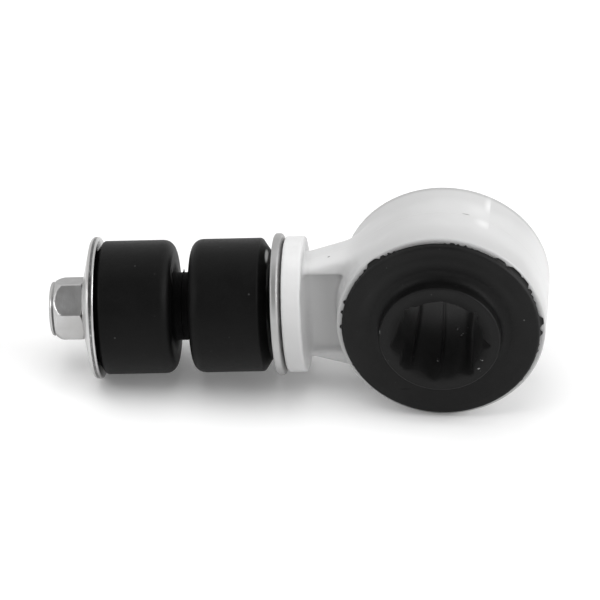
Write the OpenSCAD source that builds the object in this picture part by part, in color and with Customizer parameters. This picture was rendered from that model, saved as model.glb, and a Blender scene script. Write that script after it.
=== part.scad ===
// Stabilizer link: a moulded nylon link with a rubber-bushed eye at one end and, at the other,
// a threaded stud that carries two rubber grommets between dished washers under a lock nut.
// The origin is the centre of the eye. Y runs along the eye's bore, the stud points along -X.

/* [Eye ring] */
// Outside diameter of the eye ring, at its mid plane
eye_od = 47.5; // [44:0.5:54]
// Width of the eye ring along its bore
eye_w = 22; // [18:0.5:28]
// Radial wall of the eye ring
eye_wall = 3.25; // [2.5:0.25:4]
// Fall of the ring's outer radius from its mid plane to each face, for release from the mould
eye_draft = 0.25; // [0:0.05:0.5]
// Rounding of the ring's outer edges
eye_edge = 0.9; // [0.4:0.1:1.2]
// Lead-in chamfer at each mouth of the eye
eye_lead = 0.6; // [0.3:0.1:0.8]

/* [Eye bush] */
// Diameter of the stabilizer bar that the bush grips
bar_d = 20; // [16:0.5:21]
// How much smaller than the bar the bush's bore is moulded
bush_grip = 0.5; // [0.2:0.1:1]
// Length of the bush over both collars
bush_len = 32.5; // [30:0.5:40]
// Wall of the collar, counted from the bar
collar_wall = 3.75; // [3:0.25:4.5]
// How far the lip that covers the ring's face stays inside the ring's outside
lip_inset = 1.25; // [0.75:0.25:2]
// Thickness of that lip
lip_t = 1.5; // [1:0.1:2.5]
// Depth of the dished face below the lip, at the foot of the collar
dish_depth = 2.2; // [1:0.1:3]
// Number of lengthwise grooves in the bore
groove_count = 8; // [4:1:8]
// Width of each groove
groove_w = 1.6; // [1:0.1:1.7]
// Depth of each groove below the bore
groove_depth = 1.6; // [1:0.1:2]

/* [Link arm] */
// Length of the arm between the eye ring and the flange
arm_len = 7.5; // [6.5:0.25:20]
// Width of the arm across its two panels
arm_w = 8.4; // [7.4:0.1:12]
// Height of the arm where it leaves the flange
arm_h_flange = 22.2; // [20:0.2:26]
// Height of the arm where it runs into the eye ring
arm_h_eye = 29.2; // [26:0.2:34]
// Depth of the panel recess in each side of the arm
panel_depth = 1; // [0.4:0.1:1.2]
// Height of the panel recess
panel_h = 19.5; // [14:0.5:20]
// Land left between the panel recess and the flange
panel_land = 0.4; // [0.2:0.1:1.8]
// Fillet between the arm's sides and the eye ring
root_fillet = 3.2; // [2:0.1:4]
// Fillet between the arm's sides and the flange
flange_fillet = 1; // [0.5:0.1:1.3]

/* [Flange] */
// Diameter of the flange that backs the inner washer
flange_d = 31; // [28:0.5:34]
// Thickness of the flange
flange_t = 4.5; // [3.5:0.25:7]
// Rounding of the flange's rim
flange_edge = 0.5; // [0.2:0.1:1]

/* [Stud] */
// Thread diameter of the stud
stud_d = 8; // [6:1:8]
// Length of thread inside the nut when the stack is just closed
thread_grip = 5.2; // [4:0.1:5.3]
// Thickness of the flattened end that is moulded into the arm
paddle_t = 3.2; // [2.4:0.1:3.6]
// Height of the flattened end
paddle_h = 13; // [10:0.5:16]
// Diameter of the hole through the flattened end that the nylon keys into
paddle_hole_d = 4.5; // [3:0.5:5]

/* [Dished washers] */
// Outside diameter of each washer
washer_d = 32.4; // [30:0.2:36]
// Thickness of the washer's sheet along the stud
washer_t = 1.8; // [1.2:0.1:2.5]
// How far the washer's hub is dished out of its rim
washer_dish = 2; // [1:0.1:2.6]
// Diameter of the flat hub round the hole
washer_hub_d = 16; // [15:0.5:20]
// Gap between the inner washer's rim and the flange
rim_gap = 0.75; // [0.4:0.05:1.5]

/* [Grommets] */
// Outside diameter of the grommets
grommet_d = 30.5; // [26:0.5:31]
// Length of each grommet's round body, from its shoulder to its tapered end
grommet_len = 15.9; // [12:0.1:24]
// Length of the tapered end that sits in the washer's dish
taper_len = 2; // [1:0.1:2.5]
// Diameter of the flat face at that end
taper_d = 24; // [22:0.5:25]
// Play left between the inner grommet and its washer, because the nut is only spun on
stack_play = 2; // [0:0.1:2.5]
// Width of the groove between the two shoulders, where the suspension arm's plate sits
groove_gap = 4; // [2:0.25:8]
// Diameter of the necks that meet in that groove and fill the plate's hole
neck_d = 15.5; // [13:0.5:20]
// Rounding of the shoulders
shoulder_edge = 2.6; // [1:0.1:4]

/* [Lock nut] */
// Width of the nut across its flats
nut_af = 13; // [12:0.5:14]
// Height of the nut over its collar
nut_h = 7.85; // [7.5:0.05:9]
// Height of the hexagon
hex_h = 6; // [5:0.1:6.3]
// Diameter of the collar that is rolled over the locking ring
nut_collar_d = 11.6; // [11.2:0.1:12]
// Turn of the nut on the stud, in degrees
nut_phase = 48.9; // [0:0.1:60]

/* [Clearances] */
// Running clearance between the bush and the eye, on the radius
bush_clear = 0.05; // [0.02:0.01:0.1]
// Room between the bush's lips and the ring's faces
lip_clear = 0.1; // [0.05:0.05:0.3]
// Clearance between the nut's thread and the stud's, on the radius
thread_clear = 0.05; // [0.02:0.01:0.1]
// Clearance of the washers' and grommets' holes round the stud, on the radius
slip_clear = 0.25; // [0.1:0.05:0.4]
// Room between pieces that seat against each other along the stud
seat_clear = 0.1; // [0.05:0.05:0.3]
// Room round the pieces that are moulded or pressed in
set_clear = 0.02; // [0.01:0.01:0.05]

/* [Hidden] */

$fn = 96;
over = 1;

nylon = [0.9, 0.91, 0.9];
rubber = [0.08, 0.08, 0.085];
zinc = [0.72, 0.73, 0.75];

// Radii and places in the eye
eye_r = eye_od / 2;
eye_bore_r = eye_r - eye_wall;
bush_r = eye_bore_r - bush_clear;
bore_r = (bar_d - bush_grip) / 2;
collar_r = bar_d / 2 + collar_wall;
lip_r = eye_r - lip_inset;
lip_seat = eye_w / 2 + lip_clear;
lip_face = lip_seat + lip_t;
dish_floor = lip_face - dish_depth;
lip_flat = 0.9;
collar_foot = 1.1;
bush_edge = 0.5;

// Radii along the stud, and how far a grommet's flat end goes into its washer's dish
stud_r = stud_d / 2;
slip_r = stud_r + slip_clear;
washer_r = washer_d / 2;
hub_r = washer_hub_d / 2;
grommet_r = grommet_d / 2;
taper_seat = washer_dish * (washer_r - taper_d / 2) / (washer_r - hub_r) - seat_clear;

// Places along the stud, counted from the eye's centre towards the nut
flange_s = eye_r + arm_len;
flange_face = flange_s + flange_t;
inner_rim_back = flange_face + rim_gap;
inner_rim = inner_rim_back + washer_t;
inner_taper = inner_rim - taper_seat + stack_play + taper_len;
inner_shoulder = inner_taper + grommet_len;
outer_shoulder = inner_shoulder + groove_gap;
outer_taper = outer_shoulder + grommet_len;
outer_rim = outer_taper + taper_len - taper_seat;
nut_seat = outer_rim + washer_dish + washer_t + seat_clear;
stud_end = nut_seat + thread_grip;

// The flattened end of the stud lies in the web between the arm's two panels
web_t = arm_w - 2 * panel_depth;
paddle_wall = 0.75;
paddle_start = flange_face - flange_t / 2;
paddle_end = eye_r + paddle_wall;
paddle_hole_s = (paddle_end + flange_s) / 2;

// Places in the nut, counted from its seat, and the locking ring that its collar holds
nut_collar_wall = 0.7;
ring_wait = 0.25;
ring_lip = 0.35;
ring_cover = 0.5;
ring_bite = 0.35;
ring_r = nut_collar_d / 2 - nut_collar_wall;
ring_low = thread_grip + ring_wait;
ring_high = nut_h - ring_lip;
ring_bore_r = stud_r - ring_bite;

// Turns a profile of radius and height about the stud, height pointing to the nut
module about_stud() {
    rotate([0, -90, 0]) rotate_extrude() children();
}

// Turns a profile of radius and height about the eye's bore
module about_eye() {
    rotate([-90, 0, 0]) rotate_extrude() children();
}

// Points on one side of the eye's mid plane, followed back by their mirror images
function with_mirror(half) =
    concat(half, [for (i = [len(half) - 1 : -1 : 0]) [half[i][0], -half[i][1]]]);

// A profile and its mirror image across the eye's mid plane
module both_faces() {
    children();
    mirror([0, 1]) children();
}

// Side view of the arm, drawn in X and Z and running into the ring's wall
module arm_outline() {
    arm_start = -flange_s - flange_t / 2;
    meet_x = -sqrt(pow(eye_r - eye_wall / 2, 2) - pow(arm_h_eye / 2, 2));
    polygon([
        [arm_start, -arm_h_flange / 2],
        [-flange_s, -arm_h_flange / 2],
        [meet_x, -arm_h_eye / 2],
        [meet_x, arm_h_eye / 2],
        [-flange_s, arm_h_flange / 2],
        [arm_start, arm_h_flange / 2]
    ]);
}

// The arm's side view given a width along the bore
module arm_slab(width) {
    rotate([90, 0, 0]) linear_extrude(width, center = true) arm_outline();
}

// Shallow panel in each side of the arm, open towards the eye
module arm_panels() {
    panel_start = -flange_s + flange_fillet + panel_land;
    for (side = [-1, 1])
        translate([panel_start, side * arm_w / 2 - panel_depth, -panel_h / 2])
            cube([-panel_start, 2 * panel_depth, panel_h]);
}

// Fillet that carries the arm's web out onto the ring, on both sides
module root_fillets() {
    intersection() {
        about_eye() both_faces() difference() {
            translate([eye_r - eye_wall / 2, 0])
                square([eye_wall / 2 + root_fillet, web_t / 2 + root_fillet]);
            translate([eye_r + root_fillet, web_t / 2 + root_fillet]) circle(root_fillet);
        }
        arm_slab(eye_w);
    }
}

// Fillet between the arm's sides and the flange's back face
module flange_fillets() {
    side = arm_w / 2;
    intersection() {
        linear_extrude(eye_od, center = true)
            for (flip = [0, 1]) mirror([0, flip]) difference() {
                translate([-flange_s - over, 0]) square([over + flange_fillet, side + flange_fillet]);
                translate([-flange_s + flange_fillet, side + flange_fillet]) circle(flange_fillet);
            }
        arm_slab(eye_w);
    }
}

// Section of the eye ring: drafted outside, rounded edges and a lead-in at each mouth
module ring_section() {
    top = eye_w / 2;
    edge_r = eye_r - eye_draft - eye_edge;
    polygon(concat([[eye_r, 0]], with_mirror([
        [edge_r + eye_edge, top - eye_edge],
        [edge_r, top],
        [eye_bore_r + eye_lead, top],
        [eye_bore_r, top - eye_lead]
    ])));
    both_faces() translate([edge_r, top - eye_edge]) circle(eye_edge);
}

// Disc with a rounded rim, from one height to another
module disc_section(radius, low, high, low_edge, high_edge) {
    translate([0, low]) square([radius - low_edge, high - low]);
    translate([0, low]) square([radius - high_edge, high - low]);
    translate([0, low + low_edge]) square([radius, high - low - low_edge - high_edge]);
    translate([radius - low_edge, low + low_edge]) circle(low_edge);
    translate([radius - high_edge, high - high_edge]) circle(high_edge);
}

// Stud with its flattened end, grown by the room that the nylon leaves round it
module stud_form(room) {
    tip = 0.8;
    about_stud() polygon([
        [0, paddle_start - over],
        [stud_r + room, paddle_start - over],
        [stud_r + room, stud_end - tip],
        [stud_r + room - tip, stud_end],
        [0, stud_end]
    ]);
    difference() {
        translate([-paddle_start - room, -paddle_t / 2 - room, -paddle_h / 2 - room])
            cube([paddle_start - paddle_end + 2 * room, paddle_t + 2 * room, paddle_h + 2 * room]);
        translate([-paddle_hole_s, 0, 0])
            rotate([90, 0, 0]) cylinder(h = arm_w, r = paddle_hole_d / 2 - room, center = true);
    }
}

// Recess in the flange that takes the inner washer's dished hub
module washer_seat() {
    hub = inner_rim_back - washer_dish - seat_clear;
    rim = inner_rim_back - seat_clear;
    about_stud() polygon([
        [0, hub],
        [hub_r, hub],
        [washer_r, rim],
        [washer_r, rim + washer_t],
        [0, rim + washer_t]
    ]);
}

// The whole moulding: eye ring, arm with its panels, and flange
module link_body() {
    color(nylon) difference() {
        union() {
            about_eye() ring_section();
            difference() {
                arm_slab(arm_w);
                arm_panels();
            }
            root_fillets();
            flange_fillets();
            about_stud() disc_section(flange_d / 2, flange_s, flange_face, flange_edge, flange_edge);
        }
        rotate([90, 0, 0]) cylinder(h = eye_w + over, r = eye_bore_r, center = true);
        washer_seat();
        stud_form(set_clear);
    }
}

module stud() {
    color(zinc) stud_form(0);
}

// Section of the bush, without its grooves
module bush_section() {
    end = bush_len / 2;
    polygon(with_mirror([
        [bush_r, lip_seat],
        [lip_r, lip_seat],
        [lip_r, lip_face - bush_edge],
        [lip_r - bush_edge, lip_face],
        [lip_r - lip_flat, lip_face],
        [collar_r + collar_foot, dish_floor],
        [collar_r, dish_floor],
        [collar_r, end - bush_edge],
        [collar_r - bush_edge, end],
        [bore_r, end]
    ]));
}

// One round-bottomed groove along the bore
module bore_groove() {
    round_at = bore_r + groove_depth - groove_w / 2;
    rotate([90, 0, 0]) linear_extrude(bush_len + over, center = true) {
        translate([round_at, 0]) circle(groove_w / 2);
        translate([0, -groove_w / 2]) square([round_at, groove_w]);
    }
}

module eye_bush() {
    color(rubber) difference() {
        about_eye() bush_section();
        for (k = [0 : groove_count - 1]) rotate([0, k * 360 / groove_count, 0]) bore_groove();
    }
}

// Dished washer: rim plane at height 0, hub bulging upwards
module washer_section() {
    polygon([
        [slip_r, washer_dish],
        [hub_r, washer_dish],
        [washer_r, 0],
        [washer_r, washer_t],
        [hub_r, washer_dish + washer_t],
        [slip_r, washer_dish + washer_t]
    ]);
}

module inner_washer() {
    color(zinc) about_stud() translate([0, inner_rim]) mirror([0, 1]) washer_section();
}

module outer_washer() {
    color(zinc) about_stud() translate([0, outer_rim]) washer_section();
}

// Grommet: round body below height 0, tapered end above it and neck at the bottom
module grommet_section() {
    neck = (groove_gap - seat_clear) / 2;
    corner_edge = 0.4;
    difference() {
        union() {
            disc_section(grommet_r, -grommet_len, corner_edge, shoulder_edge, corner_edge);
            polygon([[0, -over], [grommet_r - corner_edge, -over], [grommet_r - corner_edge, corner_edge / 2],
                     [taper_d / 2, taper_len], [0, taper_len]]);
            translate([0, -grommet_len - neck]) square([neck_d / 2, neck + over]);
        }
        translate([0, -grommet_len - groove_gap]) square([slip_r, grommet_len + 2 * groove_gap]);
    }
}

module inner_grommet() {
    color(rubber) about_stud() translate([0, inner_taper]) mirror([0, 1]) grommet_section();
}

module outer_grommet() {
    color(rubber) about_stud() translate([0, outer_taper]) grommet_section();
}

// Space that the locking ring fills inside the nut's collar
module lock_ring_section(room) {
    translate([ring_bore_r - room, ring_low - room])
        square([ring_r - ring_bore_r + 2 * room, ring_high - ring_low + 2 * room]);
}

// Cone and collar that bound the hexagon: chamfers at both ends, rounded collar on top
module nut_bound() {
    corner_r = nut_af / sqrt(3);
    face_r = nut_af / 2 - 0.2;
    bevel = (corner_r - face_r) * tan(30);
    collar_edge = 1;
    about_stud() translate([0, nut_seat]) {
        polygon([
            [0, 0],
            [face_r, 0],
            [corner_r, bevel],
            [corner_r, hex_h - bevel],
            [face_r, hex_h],
            [0, hex_h]
        ]);
        disc_section(nut_collar_d / 2, hex_h - over, nut_h, collar_edge / 2, collar_edge);
    }
}

module lock_nut() {
    countersink = 0.5;
    bore = stud_r + thread_clear;
    color(zinc) difference() {
        intersection() {
            translate([-nut_seat, 0, 0]) rotate([0, -90, 0]) rotate(nut_phase)
                cylinder(h = nut_h, r = nut_af / sqrt(3), $fn = 6);
            nut_bound();
        }
        about_stud() translate([0, nut_seat]) {
            translate([0, -over]) square([bore, ring_low + over]);
            polygon([[0, -over], [bore + countersink + over, -over], [bore, countersink], [0, countersink]]);
            lock_ring_section(set_clear);
            translate([0, ring_low]) square([ring_r - ring_cover, nut_h]);
        }
    }
}

module lock_ring() {
    color(nylon) about_stud() translate([0, nut_seat]) lock_ring_section(0);
}

link_body();
stud();
eye_bush();
inner_washer();
inner_grommet();
outer_grommet();
outer_washer();
lock_nut();
lock_ring();
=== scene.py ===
# %% [markdown]
# A stabilizer link for a car's suspension: a milky nylon link with a rubber bush in its eye, and
# a steel stud that carries two rubber grommets between dished washers under a lock nut.
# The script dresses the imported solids. After some helpers and the finishes, each cell makes one piece,
# or a pair, in the solids' own frame. Sizes of pieces are written in millimetres and turned to metres
# when a mesh is made. Finishes, lamps and the camera use metres.

# %% Load the frame
import math

import bmesh
import bpy
import numpy as np
from mathutils import Matrix, Vector


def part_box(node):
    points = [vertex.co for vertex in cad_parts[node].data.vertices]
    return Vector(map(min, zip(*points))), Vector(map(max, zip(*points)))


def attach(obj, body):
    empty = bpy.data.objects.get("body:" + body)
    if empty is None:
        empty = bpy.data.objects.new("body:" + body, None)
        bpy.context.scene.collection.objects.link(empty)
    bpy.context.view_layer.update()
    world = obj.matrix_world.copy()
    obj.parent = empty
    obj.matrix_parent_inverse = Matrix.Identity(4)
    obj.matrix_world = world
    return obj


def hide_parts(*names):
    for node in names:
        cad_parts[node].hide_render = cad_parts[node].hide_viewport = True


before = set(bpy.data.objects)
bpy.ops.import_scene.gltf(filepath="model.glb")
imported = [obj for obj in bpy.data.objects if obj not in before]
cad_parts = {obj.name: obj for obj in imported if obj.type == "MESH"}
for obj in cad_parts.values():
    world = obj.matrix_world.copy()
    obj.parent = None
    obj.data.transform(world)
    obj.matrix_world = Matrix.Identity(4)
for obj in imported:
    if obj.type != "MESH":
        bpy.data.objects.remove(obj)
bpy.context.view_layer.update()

MM = 0.001
link_low, link_high = (np.array(corner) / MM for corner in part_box("link_body"))
eye_radius = link_high[2]
flange_radius = link_high[1]
flange_face = link_low[0]
print("eye radius", eye_radius, "flange radius", flange_radius, "flange face", flange_face)

# %% [markdown]
# Most pieces were turned or moulded round an axis, so they start as a section: corners with a rounding
# each, which become short arcs. Real edges are never sharp, and it is these small arcs that catch the
# light. Long sides are split too, with a point close to each end, so that smooth shading stays in the
# arcs and doesn't leak over the flat faces.

# %% Sections with rounded corners
ARC_STEPS = 6
SIDE_STEP = 1.0
EDGE_GUARD = 0.12
SIDE_SHARE = 0.49
NEARLY_STRAIGHT = math.pi - 0.01


def corner_arc(before, corner, after, rounding):
    """Points of the arc that rounds one corner of a section; it takes up less than half of each side."""
    side_before, side_after = np.linalg.norm(before - corner), np.linalg.norm(after - corner)
    to_before, to_after = (before - corner) / side_before, (after - corner) / side_after
    opening = math.acos(np.clip(to_before @ to_after, -1, 1))
    if rounding == 0 or opening > NEARLY_STRAIGHT:
        return [corner]
    reach = min(rounding / math.tan(opening / 2), SIDE_SHARE * side_before, SIDE_SHARE * side_after)
    radius = reach * math.tan(opening / 2)
    middle = (to_before + to_after) / np.linalg.norm(to_before + to_after)
    centre = corner + middle * radius / math.sin(opening / 2)
    start, end = corner + to_before * reach, corner + to_after * reach
    turn = math.pi - opening
    points = []
    for step in range(ARC_STEPS + 1):
        share = step / ARC_STEPS
        offset = math.sin((1 - share) * turn) * (start - centre) + math.sin(share * turn) * (end - centre)
        points.append(centre + offset / math.sin(turn))
    return points


def section(corners, side_step=SIDE_STEP):
    """A closed section from corners of radius, height and rounding, with long sides split."""
    spots = [np.array(corner[:2], float) for corner in corners]
    count = len(spots)
    arcs = [corner_arc(spots[i - 1], spots[i], spots[(i + 1) % count], corners[i][2])
            for i in range(count)]
    points = []
    for i in range(count):
        points += arcs[i]
        start, end = arcs[i][-1], arcs[(i + 1) % count][0]
        length = np.linalg.norm(end - start)
        on_axis = start[0] == 0 and end[0] == 0
        if on_axis or length < 3 * EDGE_GUARD:
            continue
        steps = max(2, round(length / side_step) + 1)
        inner = np.linspace(EDGE_GUARD / length, 1 - EDGE_GUARD / length, steps)
        points += [start + (end - start) * share for share in inner]
    return np.array(points)


def with_mirror(half):
    """Corners above the eye's mid plane, followed back by their mirror images."""
    return half + [(radius, -height, rounding) for radius, height, rounding in reversed(half)]


sample = section([(4, 0, 1), (6, 0, 1), (6, 2, 1), (4, 2, 1)])
print("a square section with rounded corners has", len(sample), "points")

# %% [markdown]
# The section is swung round the stud or the eye, which gives a grid of points that later cells can push
# about by angle. The grid becomes a mesh with one face between each four neighbours. The last column is
# joined to the first, so there is no seam, and a row that lies on the axis shrinks to one point.

# %% Meshes from grids
COLUMNS = 192
SAME_POINT = 1e-7


def mesh_piece(name, points, faces, material):
    """A smooth mesh object from points in millimetres, with its faces turned outwards."""
    mesh = bpy.data.meshes.new(name)
    mesh.from_pydata((points * MM).tolist(), [], faces.tolist())
    form = bmesh.new()
    form.from_mesh(mesh)
    bmesh.ops.remove_doubles(form, verts=form.verts, dist=SAME_POINT)
    bmesh.ops.recalc_face_normals(form, faces=form.faces)
    form.to_mesh(mesh)
    form.free()
    mesh.polygons.foreach_set("use_smooth", [True] * len(mesh.polygons))
    mesh.materials.append(material)
    piece = bpy.data.objects.new(name, mesh)
    bpy.context.scene.collection.objects.link(piece)
    print(name, len(mesh.vertices), "points", len(mesh.polygons), "faces")
    return piece


def around(count):
    """Evenly spaced angles of one full turn."""
    return np.linspace(0, 2 * math.pi, count, endpoint=False)


def spread(profile, columns):
    """Radius and height of a section, repeated for each angle of one full turn."""
    return (np.repeat(profile[:, i:i + 1], columns, axis=1) for i in (0, 1))


def swung(name, radius, height, axis, material):
    """Swings a section round the stud or the eye; radius and height are section by angle.
    A section that starts and ends on the axis isn't closed: its ends become single points."""
    rows, columns = radius.shape
    angle = around(columns)
    across, up = radius * np.cos(angle), radius * np.sin(angle)
    spots = (-height, across, up) if axis == "stud" else (across, height, up)
    points = np.stack(spots, axis=-1).reshape(-1, 3)
    strips = rows if radius[0, 0] > 0 else rows - 1
    row, column = np.meshgrid(np.arange(strips), np.arange(columns), indexing="ij")
    next_row, next_column = (row + 1) % rows, (column + 1) % columns
    corners = [row * columns + column, next_row * columns + column,
               next_row * columns + next_column, row * columns + next_column]
    return mesh_piece(name, points, np.stack(corners, axis=-1).reshape(-1, 4), material)


def turned(name, corners, axis, material, columns=COLUMNS, side_step=SIDE_STEP):
    """A piece that is the same all the way round."""
    radius, height = spread(section(corners, side_step), columns)
    return swung(name, radius, height, axis, material)


def dress(piece, body, cad_node):
    """A piece stands for its CAD node, which is hidden, and moves with its body."""
    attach(piece, body)
    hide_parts(cad_node)


print("a turned piece has", COLUMNS, "columns,", 360 / COLUMNS, "degrees apart")

# %% [markdown]
# Materials are node trees. Wiring them by hand hides the maths, so one small class wraps a socket
# and lets numbers be added and multiplied as in any formula. Each operator adds a Math node.

# %% Shader formulas
class Field:
    """A shader socket that can stand in a formula."""

    def __init__(self, tree, socket):
        self.tree = tree
        self.socket = socket

    def maths(self, operation, *values):
        return node(self.tree, "ShaderNodeMath", {"operation": operation}, dict(enumerate(values)))[0]

    def __add__(self, other):
        return self.maths("ADD", self, other)

    def __sub__(self, other):
        return self.maths("SUBTRACT", self, other)

    def __rsub__(self, other):
        return self.maths("SUBTRACT", other, self)

    def __mul__(self, other):
        return self.maths("MULTIPLY", self, other)

    def __abs__(self):
        return self.maths("ABSOLUTE", self)

    __radd__ = __add__
    __rmul__ = __mul__

    def ramp(self, low, high):
        """0 below low, 1 above high and a smooth step between them."""
        made = node(self.tree, "ShaderNodeMapRange", {"interpolation_type": "SMOOTHSTEP"},
                    {"Value": self, "From Min": low, "From Max": high})
        return made[0]


def node(tree, kind, settings, values):
    """Adds a node, sets it up, fills its sockets and returns its outputs as fields."""
    made = tree.nodes.new(kind)
    for key, setting in settings.items():
        setattr(made, key, setting)
    for key, value in values.items():
        if isinstance(value, Field):
            tree.links.new(value.socket, made.inputs[key])
        else:
            made.inputs[key].default_value = value
    return {key: Field(tree, out) for i, out in enumerate(made.outputs) for key in (i, out.name)}


print("made the class", Field.__name__, "for formulas on sockets")

# %% [markdown]
# A finish is a material with one Principled shader. What is constant sits on the shader's own sockets,
# and what varies is fed in as a formula. Patterns read Object coordinates, which are metres here, so a
# noise of scale 1000 has millimetre grain. Those that several finishes share are methods: noise, dots,
# a mark at one place, and the distance from the stud or from the eye's axis.

# %% Finishes
ROUND_EYE = (1.0, 0.0, 1.0)
ROUND_STUD = (0.0, 1.0, 1.0)


class Finish:
    """A material with one Principled shader, and shortcuts for the patterns that finishes share."""

    def __init__(self, name, constants):
        self.material = bpy.data.materials.new(name)
        self.material.use_nodes = True
        self.tree = self.material.node_tree
        self.shader = self.tree.nodes["Principled BSDF"]
        for key, value in constants.items():
            self.shader.inputs[key].default_value = value
        self.place = self.add("ShaderNodeTexCoord")["Object"]
        self.x, self.y, self.z = self.axes(self.place)

    def add(self, kind, settings=None, values=None):
        return node(self.tree, kind, settings or {}, values or {})

    def axes(self, vector):
        split = self.add("ShaderNodeSeparateXYZ", None, {"Vector": vector})
        return split["X"], split["Y"], split["Z"]

    def stretched(self, scale):
        return self.add("ShaderNodeMapping", None, {"Vector": self.place, "Scale": scale})["Vector"]

    def vector_maths(self, operation, *values):
        return self.add("ShaderNodeVectorMath", {"operation": operation}, dict(enumerate(values)))

    def off_axis(self, across):
        """Distance from an axis through the origin; across is 1 on the two axes square to it."""
        return self.vector_maths("LENGTH", self.stretched(across))["Value"]

    def noise(self, scale, detail=3.0, roughness=0.55, vector=None):
        values = {"Vector": vector or self.place, "Scale": scale, "Detail": detail,
                  "Roughness": roughness}
        return self.add("ShaderNodeTexNoise", None, values)["Fac"]

    def specks(self, scale, size, share):
        """Round dots in some cells of a Voronoi pattern: 1 in a dot and 0 outside."""
        cells = self.add("ShaderNodeTexVoronoi", None, {"Vector": self.place, "Scale": scale})
        chance = self.axes(cells["Color"])[0].ramp(1 - share, 1 - share + 0.001)
        return (1 - cells["Distance"].ramp(size * 0.6, size)) * chance

    def near(self, spot, reach, core=0.4):
        """1 in the core of a spot, fading to 0 at its reach along each axis, in millimetres."""
        offset = self.vector_maths("SUBTRACT", self.place, Vector(spot) * MM)["Vector"]
        share = self.vector_maths("DIVIDE", offset, Vector(reach) * MM)["Vector"]
        return 1 - self.vector_maths("LENGTH", share)["Value"].ramp(core, 1.0)

    def mix(self, factor, first, second):
        """Blends two colours; a Mix node keeps its colour sockets at 6 and 7, and the result at 2."""
        return self.add("ShaderNodeMix", {"data_type": "RGBA"}, {0: factor, 6: first, 7: second})[2]

    def bump(self, height, distance):
        return self.add("ShaderNodeBump", None, {"Height": height, "Distance": distance})["Normal"]

    def feed(self, **fields):
        for key, field in fields.items():
            self.tree.links.new(field.socket, self.shader.inputs[key.replace("_", " ")])


def grey(level, warm=0.0):
    """A grey of a light level, or one that leans a little to yellow."""
    return (level * (1 + warm), level, level * (1 - warm), 1.0)


print("middle grey as a colour", grey(0.5))

# %% [markdown]
# Natural nylon is milky: light goes a little way in, so edges look soft and shadows on it are pale.
# A constant share of subsurface light gives that. Where the wall is thin, in the ring and in the arm's
# web, less light comes back and the black rubber behind it shows through. This is painted shade in the
# colour: it greys the ring, most at its front and far edges, the web, and a little the whole arm, and it
# leaves the ring's right side lighter, as if lit from the right. The skin is satin and cloudy where the
# melt flowed, and the two halves of the mould leave a faint line. Pale patches on top of the ring are
# painted highlights. A scratch and a speck are on it too. Marks are written in millimetres, and bands
# across the shape in metres.

# %% Nylon
MELT_GREYS = (0.7, 0.78)
THIN_WALL_SHADE_GREY = 0.56
FRONT_SHADE_GREY = 0.45
BACK_SHADE_GREY = 0.32
HIGHLIGHT_GREY = 0.86
SPECK_GREY = 0.35
MARK_GREY = 0.16
RING_FADE = (0.0232, 0.027)
RING_END = (0.0245, 0.0265)
RING_RIGHT = (0.017, 0.0237)
FRONT_EDGE = (0.0040, 0.0108)
BACK_EDGE = (0.0090, 0.0108)
WEB_WIDTH = (0.003, 0.0042)
WEB_HEIGHT = (0.0095, 0.0108)
WEB_START = (-0.0315, -0.0225)
WEB_END = (-0.02, -0.01)
FLANGE_FOOT = (-0.0315, -0.0285)
PARTING_LINE = (0.00005, 0.0003)
HIGHLIGHT_PATCHES = (((11.2, 6.8, 21.0), (1.5, 4.2, 2.0)), ((10.4, -1.6, 21.4), (3.0, 2.4, 2.6)),
              ((9.0, 3.0, 22.0), (5.5, 5.5, 4.0)))
HIGHLIGHT_EDGE = 0.01145
DARK_MARKS = (((6.4, 0.35, 22.8), (1.2, 0.17, 1.5)), ((-25.2, -1.84, 13.6), (0.4, 0.3, 1.0)))


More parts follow.
